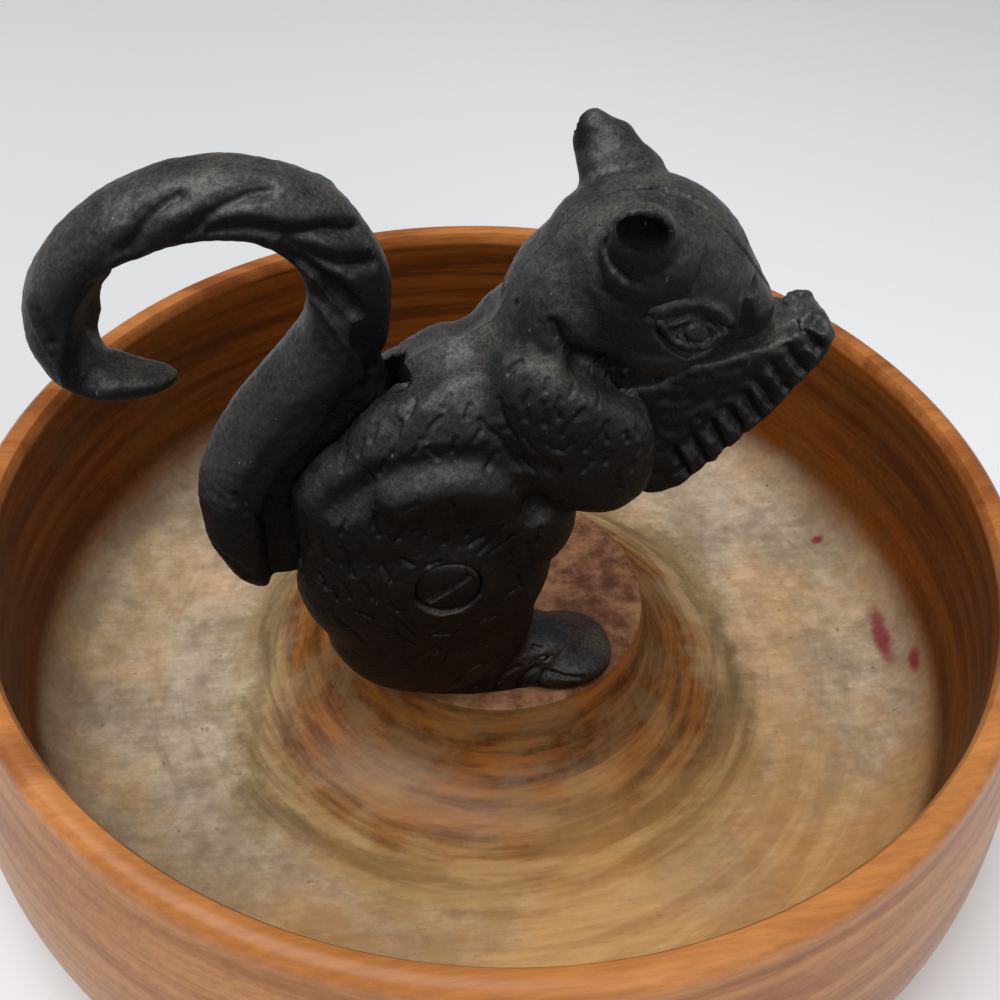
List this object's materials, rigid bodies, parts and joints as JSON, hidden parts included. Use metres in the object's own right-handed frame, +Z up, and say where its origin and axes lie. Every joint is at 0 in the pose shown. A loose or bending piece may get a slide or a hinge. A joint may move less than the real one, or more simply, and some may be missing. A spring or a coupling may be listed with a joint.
{
  "type": "lever nutcracker",
  "caption": "Squirrel-shaped cast-iron lever nutcracker on the post of a turned wooden nut bowl; lifting the tail lowers the paws away from the muzzle.",
  "frame": {"origin": "middle of the bowl's underside, on the surface that it stands on", "axes": "+X the way the squirrel faces, +Y to its left, +Z up"},
  "size_m": [0.271, 0.271, 0.1835],
  "materials": {
    "wood": "oiled, worn",
    "iron": "matte black paint over rough casting",
    "steel": "plain"
  },
  "bodies": {
    "stand": {"bowl": "wood", "body_half_right": "iron", "body_half_left": "iron", "pivot_pin": "steel", "locating_pin_head": "steel", "locating_pin_heel": "steel", "clamp_screw": "iron", "clamp_nut": "iron", "mount_screw_right": "steel", "mount_washer_right": "steel", "mount_screw_left": "steel", "mount_washer_left": "steel"},
    "lever": {"tail_lever": "iron"}
  },
  "joints": [
    {"name": "tail_hinge", "type": "hinge", "parent": "stand", "child": "lever", "pos_m": [0.005, -0.025, 0.131], "axis": [0, 1, 0], "range_deg": [0, 26]}
  ]
}
